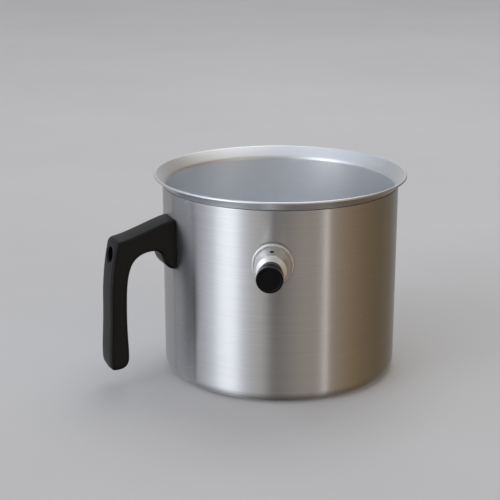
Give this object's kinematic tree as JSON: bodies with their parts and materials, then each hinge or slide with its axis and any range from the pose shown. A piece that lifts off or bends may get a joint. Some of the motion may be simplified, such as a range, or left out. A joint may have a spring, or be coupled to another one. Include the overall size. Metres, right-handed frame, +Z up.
{
  "type": "candle melting pot",
  "caption": "Double-walled aluminium melting pot with a flared rim, a black side handle and a water filler closed by a pull-out plug.",
  "frame": {"origin": "centre of the flat underside of the base", "axes": "+Z up along the pot's own axis, -X towards the handle; the filler points 62 degrees round from the handle, towards -Y"},
  "size_m": [0.2125, 0.1902, 0.1366],
  "materials": {
    "brushed_aluminium": "brushed round the wall",
    "satin_aluminium": "satin",
    "turned_aluminium": "fine turned",
    "steel": "zinc plated, satin",
    "moulded_black": "phenolic moulding, soft gloss",
    "gasket_rubber": "matt"
  },
  "bodies": {
    "pot": {"outer_shell": "brushed_aluminium", "inner_liner": "satin_aluminium", "filler_dome": "turned_aluminium", "filler_gasket": "gasket_rubber", "handle_grip": "moulded_black", "handle_bracket": "steel", "bracket_rivet_lower": "turned_aluminium", "bracket_rivet_upper": "turned_aluminium", "handle_screw": "steel", "handle_screw_washer": "steel"},
    "plug_carrier": {"plug_seal": "gasket_rubber"},
    "plug": {"plug_knob": "moulded_black", "plug_stem": "turned_aluminium"}
  },
  "joints": [
    {"name": "plug_pull", "type": "slide", "parent": "pot", "child": "plug_carrier", "axis": [-0.4695, -0.8829, 0], "range_m": [0, 0.03]},
    {"name": "plug_twist", "type": "hinge", "parent": "plug_carrier", "child": "plug", "pos_m": [-0.04225, -0.07946, 0.0956], "axis": [-0.4695, -0.8829, 0], "continuous": true}
  ]
}
